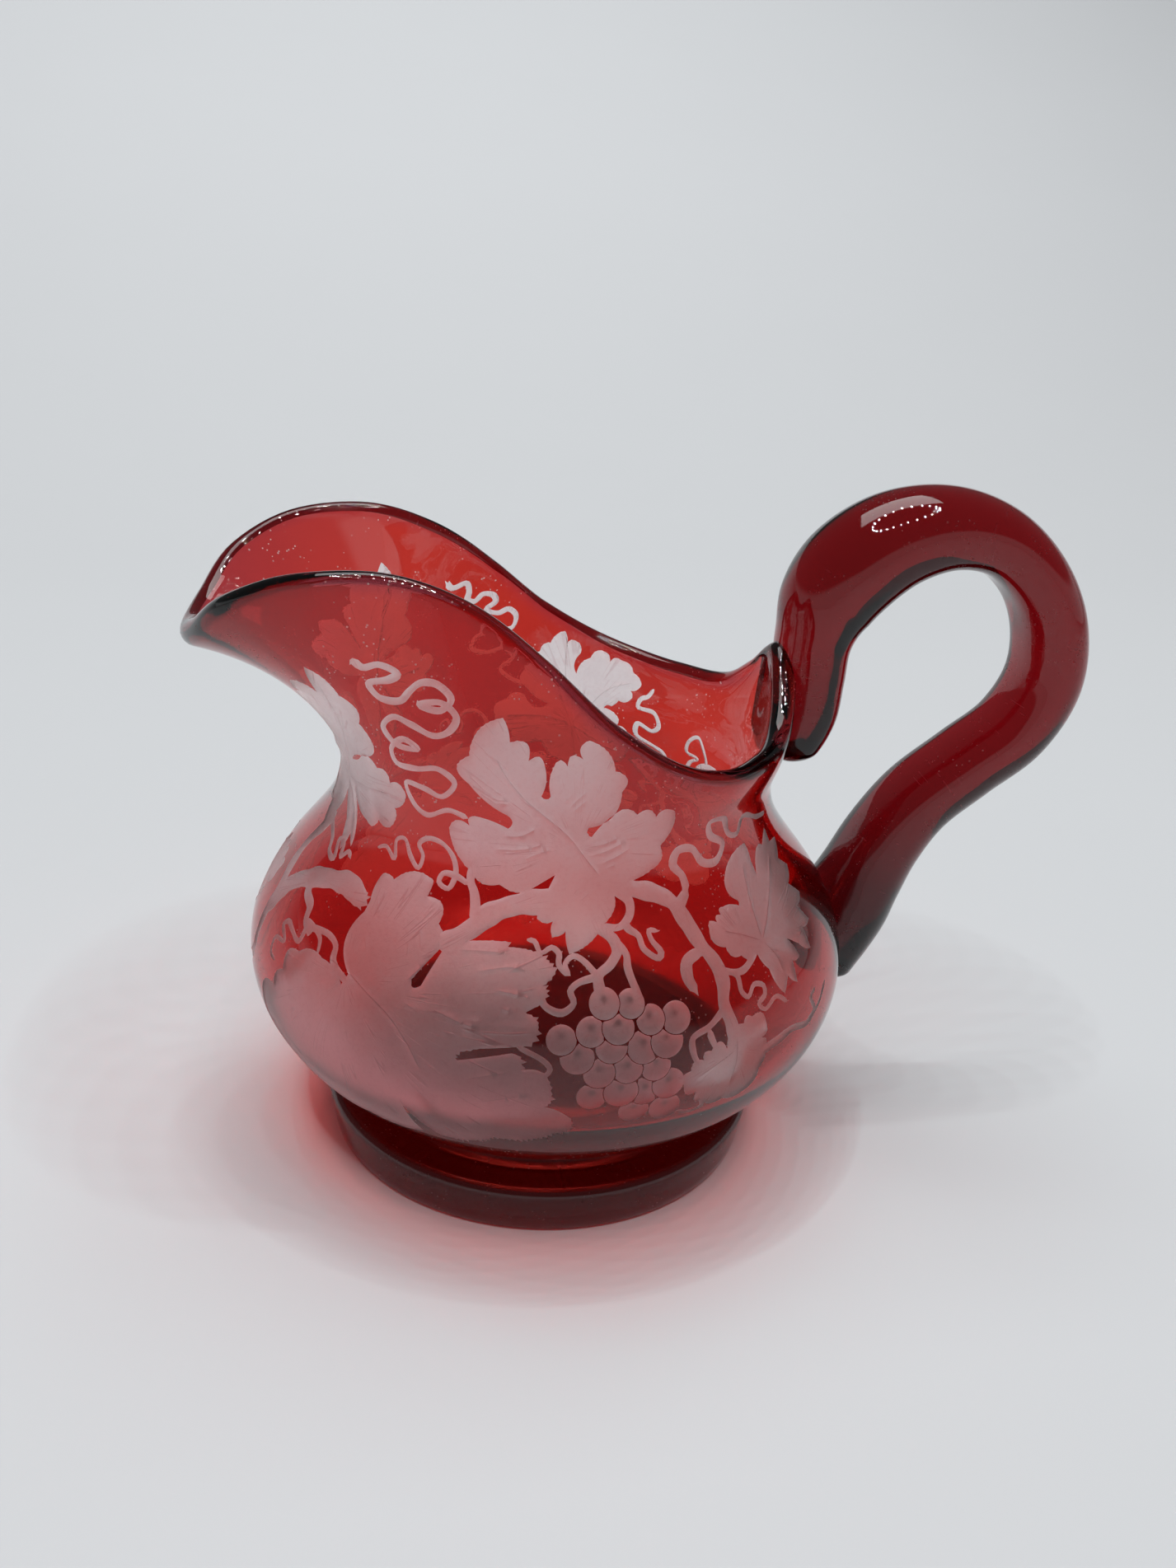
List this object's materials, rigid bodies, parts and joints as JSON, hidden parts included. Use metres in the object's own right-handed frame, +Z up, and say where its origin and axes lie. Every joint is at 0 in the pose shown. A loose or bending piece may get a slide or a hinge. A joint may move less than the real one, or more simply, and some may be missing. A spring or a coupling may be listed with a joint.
{
  "type": "cream jug",
  "caption": "Small round cream jug of ruby glass with a pulled pouring lip, a looped applied handle, a thick disc foot and an engraved grapevine.",
  "frame": {"origin": "centre of the foot's ground base, on the surface that the jug stands on", "axes": "+Z up along the bowl's axis, +X towards the handle, -X towards the pouring lip"},
  "size_m": [0.1197, 0.08, 0.0905],
  "materials": {
    "ruby_glass": "fire-polished, transparent, a ruby layer over clear glass, engraved through to frosted clear glass",
    "deep_ruby_glass": "fire-polished, thick and nearly black, ground and polished underneath",
    "handle_glass": "fire-polished, transparent deep ruby"
  },
  "bodies": {
    "root": {"bowl": "ruby_glass", "foot": "deep_ruby_glass", "handle": "handle_glass"}
  },
  "joints": []
}
